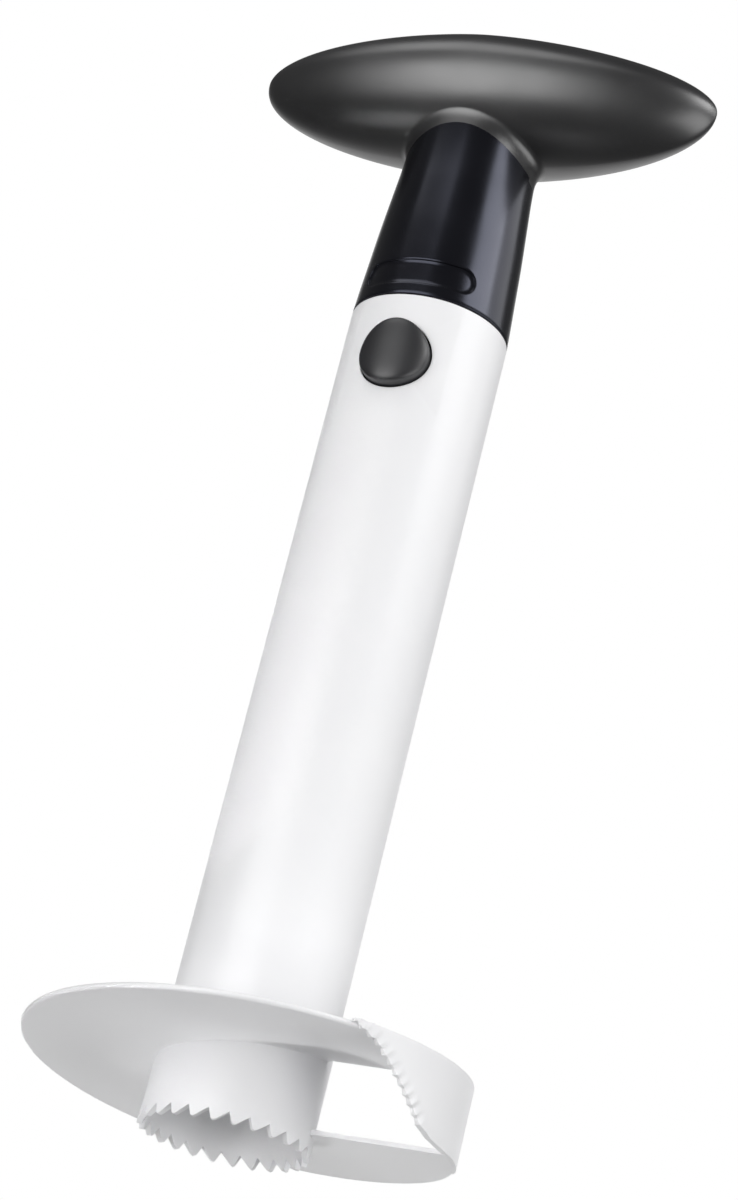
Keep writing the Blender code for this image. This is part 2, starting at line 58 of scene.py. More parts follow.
# %% [markdown]
# ## The camera
# The photograph looks up at the tool from below and from its front right, through a long
# lens. The camera's place and its three directions were fitted to the picture. They go
# straight into a matrix, because Euler angles would only hide them.

# %% Camera
FOCAL_PIXELS = 3735.7
IMAGE_HEIGHT = 1200
SENSOR = 36.0
CAMERA_PLACE = (0.2583, -0.6618, -0.1722)
CAMERA_RIGHT = Vector((0.9372, 0.2636, 0.2282)).normalized()
CAMERA_UP = Vector((-0.0974, -0.4304, 0.8974)).normalized()
NEAREST, FARTHEST = 0.01, 20

camera_back = CAMERA_RIGHT.cross(CAMERA_UP)
turn = Matrix((CAMERA_RIGHT, CAMERA_UP, camera_back)).transposed()
camera = bpy.data.objects.new("camera", bpy.data.cameras.new("camera"))
camera.matrix_world = Matrix.Translation(CAMERA_PLACE) @ turn.to_4x4()
camera.data.sensor_width = SENSOR
camera.data.lens = FOCAL_PIXELS * SENSOR / IMAGE_HEIGHT
camera.data.clip_start = NEAREST
camera.data.clip_end = FARTHEST
bpy.context.scene.collection.objects.link(camera)
bpy.context.scene.camera = camera
print("lens in mm:", round(camera.data.lens, 1))

# %% [markdown]
# ## Colours and nodes
# Colours are written as sRGB hex, the way a colour picker shows them, and turned to the
# linear values that a shader needs. One helper adds a node with its settings and links. A
# socket goes by its name, or by its number where a node has several of one name.


# %% Colours and nodes
def hex_colour(text):
    """The linear colour of an sRGB hex text."""
    channels = [int(text[i:i + 2], 16) / 255 for i in (1, 3, 5)]
    linear = [c / 12.92 if c < 0.04045 else ((c + 0.055) / 1.055) ** 2.4 for c in channels]
    return (*linear, 1)


def add_node(tree, kind, settings=None, links=None):
    """Add a node, set its options and sockets, and link other sockets to it."""
    node = tree.nodes.new(kind)
    for name, value in (settings or {}).items():
        if isinstance(name, int) or name in node.inputs:
            node.inputs[name].default_value = value
        else:
            setattr(node, name, value)
    for name, socket in (links or {}).items():
        tree.links.new(socket, node.inputs[name])
    return node


print("#808080 in linear light:", round(hex_colour("#808080")[0], 3))

# %% [markdown]
# ## Clouds and grain
# A moulding is never one flat colour. The melt cools in faint cloudy flow marks, and its
# skin copies the grain of the mould's steel. Two noises on Object coordinates give both,
# so each keeps its real size on every piece and stays in place as the piece moves. The
# same recipe suits drawn steel, whose surface is cloudy and finely marked too.

# %% Clouds and grain
FLOW_MARK = 0.014        # size of the cloudy flow marks
NOISE_LOW = 0.3          # nearly all of a noise's values lie between these two
NOISE_HIGH = 0.7


def grained_finish(name, dark, light, roughness, grain, depth, shader_values):
    """Cloudy colour between two hex values, cloudy roughness, and a grain with its depth."""
    material = bpy.data.materials.new(name)
    material.use_nodes = True
    tree = material.node_tree
    shader = tree.nodes["Principled BSDF"]
    place = add_node(tree, "ShaderNodeTexCoord").outputs["Object"]
    flow = add_node(
        tree, "ShaderNodeTexNoise",
        {"Scale": 1 / FLOW_MARK, "Detail": 3.0, "Roughness": 0.5}, {"Vector": place},
    )
    colour = add_node(tree, "ShaderNodeValToRGB", links={"Fac": flow.outputs["Fac"]})
    for stop, text in zip(colour.color_ramp.elements, (dark, light)):
        stop.color = hex_colour(text)
    sheen = add_node(
        tree, "ShaderNodeMapRange",
        {"From Min": NOISE_LOW, "From Max": NOISE_HIGH,
         "To Min": roughness[0], "To Max": roughness[1]},
        {"Value": flow.outputs["Fac"]},
    )
    speckle = add_node(
        tree, "ShaderNodeTexNoise",
        {"Scale": 1 / grain, "Detail": 2.0, "Roughness": 0.6}, {"Vector": place},
    )
    bump = add_node(
        tree, "ShaderNodeBump", {"Strength": 1.0, "Distance": depth},
        {"Height": speckle.outputs["Fac"]},
    )
    tree.links.new(colour.outputs["Color"], shader.inputs["Base Color"])
    tree.links.new(sheen.outputs["Result"], shader.inputs["Roughness"])
    tree.links.new(bump.outputs["Normal"], shader.inputs["Normal"])
    for socket, value in shader_values.items():
        shader.inputs[socket].default_value = value
    return material


print("flow marks of", FLOW_MARK * 1000, "mm")

# %% [markdown]
# ## The finishes
# The cutting end is white ABS from a fine-polished mould. The grip has a soft-touch TPE skin
# from an eroded mould, and the neck is black ABS from a mirror-polished one. The buttons are
# satin ABS. Inside are a glass-filled nylon core and drawn steel.

# %% Materials
POLISH_GRAIN = 0.0012    # orange peel of a polished mould, drawn coarse enough to show
ERODED_GRAIN = 0.00035   # pits of a spark-eroded mould

# Bright and slightly glossy, and it lets a little light in, which softens its shadows
white_abs = grained_finish(
    "white_abs_polished", "#F0F0F2", "#F4F4F5", (0.30, 0.36), POLISH_GRAIN, 0.000006,
    {"IOR": 1.50, "Subsurface Weight": 0.10, "Subsurface Radius": (1, 1, 1),
     "Subsurface Scale": 0.0012},
)
# The grain spreads every highlight to a broad, dull sheen
soft_tpe = grained_finish(
    "soft_touch_tpe", "#111113", "#151517", (0.34, 0.40), ERODED_GRAIN, 0.00001,
    {"IOR": 1.65, "Specular IOR Level": 1.0},
)
# Deep black with narrow, slightly cold highlights
gloss_abs = grained_finish(
    "black_abs_mirror", "#0B0B0E", "#0E0E11", (0.20, 0.26), POLISH_GRAIN, 0.000003,
    {"IOR": 1.53, "Specular Tint": hex_colour("#D8DDF6")},
)
# Dark grey, so that the buttons stand apart from the neck
satin_abs = grained_finish(
    "black_abs_satin", "#1E1E21", "#232326", (0.40, 0.46), ERODED_GRAIN, 0.000006,
    {"IOR": 1.50, "Specular IOR Level": 0.8},
)
# The glass fibres at its surface make it matt
nylon = grained_finish(
    "glass_filled_nylon", "#232325", "#2C2C2E", (0.45, 0.60), ERODED_GRAIN, 0.00001,
    {"IOR": 1.53},
)
# Bright from the die, with faint marks
steel = grained_finish(
    "drawn_steel", "#A9A9AC", "#BEBEC1", (0.22, 0.32), ERODED_GRAIN, 0.000004,
    {"Metallic": 1.0},
)
print("materials:", len(bpy.data.materials))

# %% [markdown]
# ## Finishing a piece
# Every piece ends the same way: merged doubles, normals outward, smooth shading with sharp
# edges kept, and a ride on the CAD body that carries it.

# %% Finishing a piece
WELD = 0.000002          # vertices nearer than this are one
SHARP = math.radians(38)


def finish_piece(name, bm, material, body, slot, *replaced):
    """Turn a bmesh into a smooth piece that rides on a body and stands for CAD nodes."""
    bmesh.ops.remove_doubles(bm, verts=bm.verts, dist=WELD)
    bmesh.ops.recalc_face_normals(bm, faces=bm.faces)
    mesh = bpy.data.meshes.new(name)
    bm.to_mesh(mesh)
    bm.free()
    mesh.materials.append(material)
    mesh.shade_smooth()
    mesh.set_sharp_from_angle(angle=SHARP)
    piece = bpy.data.objects.new(name, mesh)
    bpy.context.scene.collection.objects.link(piece)
    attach(piece, body)
    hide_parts(*replaced)
    print(name, "has", len(mesh.polygons), "faces")
    return piece


print("edges over", round(math.degrees(SHARP)), "degrees stay sharp")

# %% [markdown]
# ## Walls laid flat
# The tube and its plug have two opposite button holes each, and the neck has an oblong
# recess. A boolean would leave ragged faces beside them. So each of these walls starts as
# a flat grid, its openings are made there, and the sheet is then rolled up about the axis.


# %% Flat sheets
def even(start, end, steps):
    """Evenly spaced places from start to end."""
    return [start + (end - start) * step / steps for step in range(steps + 1)]


def sheet(columns, rows):
    """A flat grid whose lines are at the given places along X and Y."""
    bm = bmesh.new()
    across, up = len(columns) - 1, len(rows) - 1
    bmesh.ops.create_grid(bm, x_segments=across, y_segments=up, size=0.5)
    for vert in bm.verts:
        column = round((vert.co.x + 0.5) * across)
        row = round((vert.co.y + 0.5) * up)
        vert.co = (columns[column], rows[row], 0)
    return bm


print("four even steps:", even(0, 1, 4))

# %% [markdown]
# A sheet grows at its rim: the rim's edges are extruded, the new vertices are moved, and the
# new rim is extruded in its turn. This is how a neck gets its curved end, and how a square
# opening is drawn in to a round hole or an oblong slot with clean quads all round it.


# %% Rims, holes and slots
def rim_of(bm, inside):
    """Boundary edges whose two ends pass a test."""
    return [e for e in bm.edges if e.is_boundary and all(inside(v.co) for v in e.verts)]


def walk(bm, rim, places):
    """Extrude a rim step by step; each place moves one vertex of the new rim."""
    for place in places:
        made = bmesh.ops.extrude_edge_only(bm, edges=rim)["geom"]
        fresh = [g for g in made if isinstance(g, bmesh.types.BMVert)]
        keep = set(fresh)
        rim = [
            g for g in made
            if isinstance(g, bmesh.types.BMEdge) and g.verts[0] in keep and g.verts[1] in keep
        ]
        for vert in fresh:
            vert.co = place(vert.co)


def draw_in(bm, middle, patch, half_run, rings, bend=None):
    """Open a patch of a flat sheet and draw its rim in to rings round a slot.

    The patch is (left, right, low, high). The slot is a line of twice half_run with round
    ends, so half_run 0 makes a circle. Each ring is (distance from the line, depth). A
    bend radius keeps a circle round once the sheet is rolled up."""
    left, right, low, high = patch
    faces = []
    for face in bm.faces:
        spot = face.calc_center_median()
        if left < spot.x < right and low < spot.y < high:
            faces.append(face)
    bmesh.ops.delete(bm, geom=faces, context="FACES")
    rim = rim_of(
        bm, lambda co: left - WELD < co.x < right + WELD and low - WELD < co.y < high + WELD,
    )
    cx, cy = middle

    def place_on(distance, depth):
        def place(co):
            x, y = co.x - cx, co.y - cy
            if bend:
                x = bend * math.sin(x / bend)
            root = max(-half_run, min(half_run, x))
            run = math.hypot(x - root, y) or 1
            x = root + (x - root) / run * distance
            if bend:
                x = bend * math.asin(x / bend)
            return Vector((cx + x, cy + y / run * distance, -depth))
        return place

    walk(bm, rim, [place_on(distance, depth) for distance, depth in rings])


trial = sheet(even(0, 1, 4), even(0, 1, 4))
print("a sheet of 4 by 4 cells has", len(rim_of(trial, lambda co: True)), "edges in its rim")
trial.free()

# %% [markdown]
# An open shell becomes solid when all its faces are extruded at once and the copy is moved
# inward. The extrusion closes every rim with a narrow strip, whose edges are then bevelled.

# %% Wall thickness
RIM_ANGLE = math.radians(60)


def thicken(bm, move, bevel):
    """Close an open shell with an inner wall, and round its rims."""
    made = bmesh.ops.extrude_face_region(bm, geom=bm.faces[:])["geom"]
    for vert in made:
        if isinstance(vert, bmesh.types.BMVert):
            vert.co = move(vert.co)
    bmesh.ops.recalc_face_normals(bm, faces=bm.faces)
    rims = [e for e in bm.edges if len(e.link_faces) == 2 and e.calc_face_angle() > RIM_ANGLE]
    bmesh.ops.bevel(
        bm, geom=rims, affect="EDGES", offset=bevel, segments=3, profile=0.5, material=-1,
    )


print("edges over", round(math.degrees(RIM_ANGLE)), "degrees belong to a rim")

# %% [markdown]
# ## The tube and the plug inside it
# The white tube is the long stem that the slices pile up on. The handle's plug stands in its
# upper end, and each button goes through the plug's wall and the tube's. One function makes
# both sleeves, because they differ only in their radii, their feet and their finish.

# %% Sleeves with button holes
TUBE_R = 0.0168
BORE_R = 0.0149
TUBE_FOOT = 0.0233
TUBE_TOP = 0.180
PLUG_R = 0.0146
PLUG_BORE_R = 0.0126
PLUG_FOOT = 0.1470
BUTTON_HEIGHT = 0.1657
HOLE_R = 0.0077
HOLE_RING = 0.0006       # ring of even faces round a hole
HOLE_MARGIN = 0.0017     # zone round a hole whose walls run straight through
SLEEVE_ROUNDING = 0.00025
SLEEVE_STEPS = 144
PATCH_STEPS = 16         # grid steps from a hole's centre to its patch's edge
ROWS_BELOW, ROWS_ABOVE = 12, 3
RIM_STRIP = 0.0015       # plain strip under the upper rim


def holed_sleeve(radius, bore, foot, top):
    """A sleeve about the axis with a round hole through its front and rear."""
    step = 2 * math.pi * radius / SLEEVE_STEPS
    reach = PATCH_STEPS * step
    low = BUTTON_HEIGHT - reach
    high = min(BUTTON_HEIGHT + reach, top - RIM_STRIP)
    rows = even(foot, low, ROWS_BELOW)[:-1] + even(low, high, 2 * PATCH_STEPS)
    rows += even(high, top, ROWS_ABOVE)[1:]
    bm = sheet(even(-math.pi * radius, math.pi * radius, SLEEVE_STEPS), rows)
    for side in (-1, 1):
        middle = side * math.pi / 2 * radius
        patch = (middle - reach, middle + reach, low, high)
        rings = ((HOLE_R + HOLE_RING, 0), (HOLE_R, 0))
        draw_in(bm, (middle, BUTTON_HEIGHT), patch, 0, rings, bend=radius)
    for vert in bm.verts:
        azimuth = vert.co.x / radius
        vert.co = (radius * math.cos(azimuth), radius * math.sin(azimuth), vert.co.y)
    bmesh.ops.remove_doubles(bm, verts=bm.verts, dist=WELD)

    def to_bore(co):
        off_hole = math.hypot(co.x, co.z - BUTTON_HEIGHT) - HOLE_R
        straight = max(0, 1 - off_hole / HOLE_MARGIN)
        if straight == 0:
            return Vector((co.x * bore / radius, co.y * bore / radius, co.z))
        x = co.x * (straight + (1 - straight) * bore / radius)
        return Vector((x, math.copysign(math.sqrt(bore ** 2 - x ** 2), co.y), co.z))

    thicken(bm, to_bore, SLEEVE_ROUNDING)
    return bm


finish_piece(
    "stem_tube", holed_sleeve(TUBE_R, BORE_R, TUBE_FOOT, TUBE_TOP), white_abs,
    "slicer", "white_plastic", "tube",
)
finish_piece(
    "latch_plug", holed_sleeve(PLUG_R, PLUG_BORE_R, PLUG_FOOT, TUBE_TOP), nylon,
    "handle", "core_plastic", "plug",
)

# %% [markdown]
# ## The toothed corer
# A short ring continues the tube. Its lower edge is cut into saw teeth that all lean one
# way, and its mouth is ground open from inside so that only a thin edge meets the fruit.
# Spinning the section in many steps gives one column of faces for each point of a tooth.

# %% Corer ring
CORER_R = 0.0170
CORER_TOP = 0.0230
CORER_ROUNDING = 0.0003
TEETH_R = 0.0172
TEETH_EDGE_R = 0.0162
GROUND_ZONE = 0.0045     # height of the part that is ground thin
TOOTH_COUNT = 26
TOOTH_DEPTH = 0.0022
# How far the edge is lifted along one tooth, in shares of the depth
TOOTH_SHAPE = (1.0, 0.55, 0.10, 0.0, 0.06, 0.20, 0.36, 0.52, 0.68, 0.84)
CORER_STEPS = TOOTH_COUNT * len(TOOTH_SHAPE)


def spun(outline, steps):
    """A closed outline of (radius, height) points turned once about Z."""
    bm = bmesh.new()
    points = [bm.verts.new((r, 0, z)) for r, z in outline]
    for start, end in zip(points, points[1:] + points[:1]):
        if start.co.x > 0 or end.co.x > 0:
            bm.edges.new((start, end))
    bmesh.ops.spin(
        bm, geom=bm.verts[:] + bm.edges[:], cent=(0, 0, 0), axis=(0, 0, 1),
        angle=2 * math.pi, steps=steps, use_merge=True,
    )
    bmesh.ops.remove_doubles(bm, verts=bm.verts, dist=WELD)
    return bm


bm = spun((
    (CORER_R - CORER_ROUNDING, CORER_TOP), (CORER_R, CORER_TOP - CORER_ROUNDING),
    (CORER_R, GROUND_ZONE), (TEETH_R, 0), (TEETH_EDGE_R, 0), (BORE_R, GROUND_ZONE),
    (BORE_R, CORER_TOP),
), CORER_STEPS)
for vert in bm.verts:
    if vert.co.z < WELD:
        share = math.atan2(vert.co.y, vert.co.x) / (2 * math.pi) % 1
        column = round(share * CORER_STEPS)
        lift = TOOTH_DEPTH * TOOTH_SHAPE[column % len(TOOTH_SHAPE)]
        radius = math.hypot(vert.co.x, vert.co.y)
        wall_r = BORE_R if radius < (TEETH_R + TEETH_EDGE_R) / 2 else CORER_R
        slid = 1 + (wall_r - radius) / radius * lift / GROUND_ZONE
        vert.co = (vert.co.x * slid, vert.co.y * slid, lift)
finish_piece("toothed_corer", bm, white_abs, "slicer", "white_plastic", "corer_ring")

# %% [markdown]
# ## The helical blade
# The disc is one turn of a helix: its section is spun once round the axis and rises by one
# slice height as it goes. The turn starts in a thin ground lip that enters the fruit, and
# small fillets join the disc to the ring. The rim is half round, as on a moulding.

# %% Blade's measures
BLADE_R = 0.044
BLADE_THICKNESS = 0.0013
BLADE_PITCH = 0.015
BLADE_STEPS = 240
ROOT_R = CORER_R - 0.0002
# The fillets under and over the root, as (distance from the root, height)
FILLET_BELOW = ((0, -0.0006), (0.0004, -0.0003), (0.001, 0))
FILLET_ABOVE = ((0.0022, 0), (0.0014, 0.0005), (0.0008, 0.0013), (0, 0.0014))
LIP_HEIGHT = 0.0045
LIP_GROUND = 0.003       # run of the lip's ground slope
LIP_EDGE = 0.0009
LIP_GROWTH = 0.0008      # extra reach of the rim where it runs into the wall
GROWTH_START = 0.030     # radius where that growth sets in
FULL_BLADE = math.radians(60)    # azimuth where the lip has become the plain disc
WALL_END = math.radians(24)      # azimuth where the outer wall ends


def smooth_fall(value, full, none):
    """1 up to one value, 0 from another on, and a smooth fall between them."""
    t = min(1, max(0, (value - full) / (none - full)))
    return 1 - t * t * (3 - 2 * t)


def helix_height(azimuth):
    """Height of the disc's underside at an azimuth in radians."""
    return LIP_HEIGHT + BLADE_PITCH * azimuth / (2 * math.pi)


print("the disc ends at a height of", round(helix_height(2 * math.pi), 4))

# %% [markdown]
# The section is one face that is spun with a rise in every step. Only the start of the turn
# is then reshaped: its edge is ground thin, its fillet fades in, and its rim grows a little
# to meet the outer wall.


# %% Helical blade
def blade_disc():
    """The helical disc with a rounded rim and a soft root."""
    half = BLADE_THICKNESS / 2
    rim = [
        (BLADE_R - half + half * math.cos(t), half + half * math.sin(t))
        for t in even(-math.pi / 2, math.pi / 2, 6)
    ]
    section = [(ROOT_R + out, z) for out, z in FILLET_BELOW] + [(GROWTH_START, 0)] + rim
    section += [(GROWTH_START, BLADE_THICKNESS)]
    section += [(ROOT_R + out, BLADE_THICKNESS + z) for out, z in FILLET_ABOVE]
    bm = bmesh.new()
    face = bm.faces.new([bm.verts.new((r, 0, LIP_HEIGHT + z)) for r, z in section])
    bmesh.ops.spin(
        bm, geom=[face] + face.edges[:] + face.verts[:], cent=(0, 0, 0), axis=(0, 0, 1),
        dvec=(0, 0, BLADE_PITCH / BLADE_STEPS), angle=2 * math.pi, steps=BLADE_STEPS,
    )
    for vert in bm.verts:
        azimuth = math.atan2(vert.co.y, vert.co.x)
        floor = helix_height(azimuth)
        rise = vert.co.z - floor
        if azimuth < -WELD or rise > BLADE_PITCH / 2:
            continue
        full = min(1, vert.co.y / LIP_GROUND)
        thin = LIP_EDGE / BLADE_THICKNESS
        collar = max(0, rise - BLADE_THICKNESS) * smooth_fall(azimuth, 0, FULL_BLADE)
        vert.co.z = floor + (rise - collar) * (thin + (1 - thin) * full)
        radius = math.hypot(vert.co.x, vert.co.y)
        growth = LIP_GROWTH * smooth_fall(azimuth, WALL_END, FULL_BLADE)
        growth *= max(0, radius - GROWTH_START) / (BLADE_R - GROWTH_START)
        vert.co.x *= 1 + growth / radius
        vert.co.y *= 1 + growth / radius
    return bm


finish_piece("helical_blade", blade_disc(), white_abs, "slicer", "white_plastic", "blade")

# %% [markdown]
# ## The outer wall
# A short wall ties the two ends of the turn together at the rim, and its teeth trim the
# slice from the skin. It is a patch between four edges: a toothed diagonal in front, a short
# upright edge behind, and the helix below and above. The edges are laid out flat first.

# %% Wall's outline
WALL_R = BLADE_R - 0.0002
WALL_THICKNESS = 0.0013
WALL_MIDDLE_R = WALL_R + WALL_THICKNESS / 2
WALL_REAR = WALL_END * WALL_MIDDLE_R     # place of the rear edge on the flat wall
WALL_TOP = BLADE_PITCH + BLADE_THICKNESS + 0.0002
WALL_FOOT = 0.0001       # wall's foot above the disc's underside
WALL_CORNER = 0.003      # rounding of the rear upper corner
WALL_HEEL = 0.0012       # rounding of the rear lower corner
# The diagonal from the wall's foot to its top, in degrees and metres above the helix
DIAGONAL = ((-17.9, 0.0020), (-37.2, 0.0132), (-45.2, 0.0160))
# The wall's lower edge, from the foot of the diagonal to the rear
LOWER_EDGE = ((-17.9, 0.0020), (-12.1, 0.0006), (-7.0, 0.0002), (-1.6, WALL_FOOT))


def upper_corner(start, end):
    """Part of the rear upper corner's arc, between two angles from the upright edge."""
    return [
        (WALL_REAR - WALL_CORNER * (1 - math.cos(t)), WALL_TOP - WALL_CORNER * (1 - math.sin(t)))
        for t in even(start, end, 4)
    ]


diagonal = [(math.radians(d) * WALL_MIDDLE_R, h) for d, h in DIAGONAL]
heel = [
    (WALL_REAR - WALL_HEEL * (1 - math.sin(t)), WALL_FOOT + WALL_HEEL * (1 - math.cos(t)))
    for t in even(0, math.pi / 2, 6)
]
top_start = (diagonal[-1][0], WALL_TOP)
front_edge = diagonal + [top_start]
lower_edge = [(math.radians(d) * WALL_MIDDLE_R, h) for d, h in LOWER_EDGE] + heel
upper_edge = [top_start] + upper_corner(math.pi / 2, math.pi / 4)
rear_edge = heel[-1:] + upper_corner(0, math.pi / 4)
print("the wall is", round((WALL_REAR - top_start[0]) * 1000, 1), "mm long at its top")

# %% [markdown]
# The grid is stretched between these edges: each of its points blends the edges below and
# above it with the two beside it. Two more helpers find a point along an edge, and the
# nearest place on the diagonal, from which a tooth is pressed in square to its edge.


# %% Points on the flat wall
def path_length(path):
    """The whole length of a flat path."""
    return sum(math.dist(a, b) for a, b in zip(path, path[1:]))


def along(path, share):
    """A point at a share of the way along a flat path."""
    rest = share * path_length(path)
    for start, end in zip(path, path[1:]):
        run = math.dist(start, end)
        if rest <= run:
            break
        rest -= run
    else:
        rest = run
    return Vector(start).lerp(Vector(end), rest / run)


def nearest_on(path, spot):
    """How far a flat path is from a spot, at which share of it, and its direction there."""
    nearest, gone = None, 0
    for start, end in zip(path, path[1:]):
        start, step = Vector(start), Vector(end) - Vector(start)
        part = min(1, max(0, (spot - start).dot(step) / step.length_squared))
        off = (start + step * part - spot).length
        if nearest is None or off < nearest[0]:
            nearest = (off, (gone + part * step.length) / path_length(path), step.normalized())
        gone += step.length
    return nearest


def wall_point(u, v):
    """A point of the flat wall at shares u from front to rear and v from foot to top.

    Both pairs of edges count in full, so the blend of the four corners is taken off."""
    below, above = along(lower_edge, u), along(upper_edge, u)
    left, right = along(front_edge, v), along(rear_edge, v)
    place = below * (1 - v) + above * v + left * (1 - u) + right * u
    place -= Vector(lower_edge[0]) * (1 - u) * (1 - v) + Vector(lower_edge[-1]) * u * (1 - v)
    place -= Vector(upper_edge[0]) * (1 - u) * v + Vector(rear_edge[-1]) * u * v
    return place


print("middle of the flat wall:", wall_point(0.5, 0.5))

# %% [markdown]
# Each tooth's valley is pressed into the diagonal and scooped out of the outer face as a
# ground scallop. Near the two rear corners the grid is smoothed, because its lines crowd
# there. Then the sheet gets its thickness, is rolled up and is lifted along the helix.

# %% Serrated wall
TEETH_IN_WALL = 11
TOOTH_ROWS = 8
ROWS_ON_TOP = 4
WALL_TOOTH = 0.0006
TOOTH_FADE = 0.0040      # distance from the edge where the teeth stop moving the grid
SCALLOP_DEPTH = 0.0007
SCALLOP_RUN = 0.0024
WALL_TAPER = 0.0004
WALL_FADE = 0.0030       # run of the thinner rear end
WALL_COLUMNS = 84
COLUMN_POWER = 1.1       # above 1 the columns crowd toward the teeth
SMOOTHINGS = 30
WALL_ROUNDING = 0.00005


def outer_wall():
    """The wall with its teeth, from a flat sheet to its place on the helix."""
    toothed = path_length(diagonal) / path_length(front_edge)
    rows = even(0, toothed, TEETH_IN_WALL * TOOTH_ROWS)[:-1] + even(toothed, 1, ROWS_ON_TOP)
    bm = sheet(even(0, 1, WALL_COLUMNS), rows)
    for vert in bm.verts:
        place = wall_point(vert.co.x ** COLUMN_POWER, vert.co.y)
        off_edge, share, direction = nearest_on(diagonal, place)
        valley = 1 - abs(2 * (share * TEETH_IN_WALL % 1) - 1)
        inward = Vector((direction.y, -direction.x))
        place += inward * WALL_TOOTH * valley * max(0, 1 - off_edge / TOOTH_FADE)
        scallop = SCALLOP_DEPTH * valley * max(0, 1 - off_edge / SCALLOP_RUN)
        fade = WALL_TAPER * smooth_fall(WALL_REAR - place.x, 0, WALL_FADE)
        vert.co = (place.x, place.y, WALL_THICKNESS / 2 - scallop - fade)
    cramped = [
        v for v in bm.verts
        if not v.is_boundary and (
            math.dist(v.co.xy, rear_edge[-1]) < WALL_CORNER
            or math.dist(v.co.xy, rear_edge[0]) < WALL_HEEL
        )
    ]
    for _ in range(SMOOTHINGS):
        bmesh.ops.smooth_vert(
            bm, verts=cramped, factor=0.5, use_axis_x=True, use_axis_y=True, use_axis_z=False,
        )
    thicken(bm, lambda co: Vector((co.x, co.y, -WALL_THICKNESS / 2)), WALL_ROUNDING)
    for vert in bm.verts:
        azimuth = vert.co.x / WALL_MIDDLE_R
        radius = WALL_MIDDLE_R + vert.co.z
        height = helix_height(azimuth) + vert.co.y
        vert.co = (radius * math.cos(azimuth), radius * math.sin(azimuth), height)
    return bm


finish_piece("serrated_wall", outer_wall(), white_abs, "slicer", "white_plastic", "blade")

# %% [markdown]
# ## The grip
# Seen from above the grip is a pointed oval, and from the front a long lens with a deeper
# belly. A sphere's vertices are moved by one formula to that form, which keeps the surface
# free of bumps. The same formula gives the underside, which the neck has to meet.

# %% Soft grip
GRIP_LENGTH = 0.1025
GRIP_DEPTH = 0.038
GRIP_HEIGHT = 0.2382     # level of the widest outline
GRIP_RISE = 0.0111
GRIP_DROP = 0.0165
PLAN_POWER = 1.17        # above 1 the outline is more pointed than an ellipse
SIDE_POWER = 0.88        # below 1 the section is fuller than an ellipse


def grip_underside(x, y):
    """Height of the grip's lower surface over a point, or of its widest level outside it."""
    plan = (abs(x) / (GRIP_LENGTH / 2)) ** (2 / PLAN_POWER)
    plan += (abs(y) / (GRIP_DEPTH / 2)) ** (2 / PLAN_POWER)
    level = min(1, plan ** (PLAN_POWER / 2)) ** (1 / SIDE_POWER)
    return GRIP_HEIGHT - GRIP_DROP * math.sqrt(1 - level ** 2)


bm = bmesh.new()
bmesh.ops.create_uvsphere(bm, u_segments=192, v_segments=96, radius=1)
for vert in bm.verts:
    x, y, z = vert.co
    ring = math.hypot(x, y)
    level = ring ** SIDE_POWER
    far = abs(x / ring) ** PLAN_POWER if ring > WELD else 0
    wide = abs(y / ring) ** PLAN_POWER if ring > WELD else 0
    vert.co = (
        math.copysign(GRIP_LENGTH / 2 * level * far, x),
        math.copysign(GRIP_DEPTH / 2 * level * wide, y),
        GRIP_HEIGHT + (GRIP_RISE if z > 0 else GRIP_DROP) * z,
    )
finish_piece("soft_grip_skin", bm, soft_tpe, "handle", "soft_black", "soft_grip")

# %% [markdown]
# ## The neck
# The neck is a tapered collar with a mirror finish, so any uneven face would show as a kink
# in its highlights. A smooth curve through a few measured radii gives its outline.

# %% Neck's outline
NECK_FOOT = 0.1803
NECK_LENGTH = 0.0492
# Shares of the neck's length, and of the tube's radius
NECK_SHARES = (
    (0.00, 1.000), (0.10, 0.985), (0.25, 0.958), (0.40, 0.931),
    (0.60, 0.885), (0.72, 0.858), (0.84, 0.842), (1.00, 0.836),
)


def neck_radius(height):
    """The neck's outline as a smooth curve through its shares of height and radius."""
    share = min(1, max(0, (height - NECK_FOOT) / NECK_LENGTH))
    spots = NECK_SHARES
    i = max(k for k in range(len(spots) - 1) if spots[k][0] <= share)

    def slope(k):
        low, high = spots[max(k - 1, 0)], spots[min(k + 1, len(spots) - 1)]
        return (high[1] - low[1]) / (high[0] - low[0])

    (s0, r0), (s1, r1) = spots[i], spots[i + 1]
    run = s1 - s0
    t = (share - s0) / run
    r = r0 * (2 * t ** 3 - 3 * t ** 2 + 1) + slope(i) * run * (t ** 3 - 2 * t ** 2 + t)
    r += r1 * (3 * t ** 2 - 2 * t ** 3) + slope(i + 1) * run * (t ** 3 - t ** 2)
    return TUBE_R * r


print("neck's radius at its middle:", round(neck_radius(NECK_FOOT + NECK_LENGTH / 2), 5))

# %% [markdown]
# At its top the neck flares out along the grip's underside. The flare is as round as if a
# ball had been rolled along the corner. It starts higher in front than at the sides, because
# the grip's belly rises there, so each place is worked out for its own azimuth.

# %% Flare
FLARE = 0.0040           # radius of the ball that rounds the corner
FLARE_LEVEL = 0.9        # share of the neck's length that gives the corner's radius
FLARE_REACH = 0.56       # share of the ball's way out that the flare takes
FLARE_START = 0.2120
PROBE = 0.0005           # step that measures the grip's slope


def polar(co, radius, height):
    """A place at the azimuth of another, at a radius and height."""
    azimuth = math.atan2(co.y, co.x)
    return Vector((radius * math.cos(azimuth), radius * math.sin(azimuth), height))


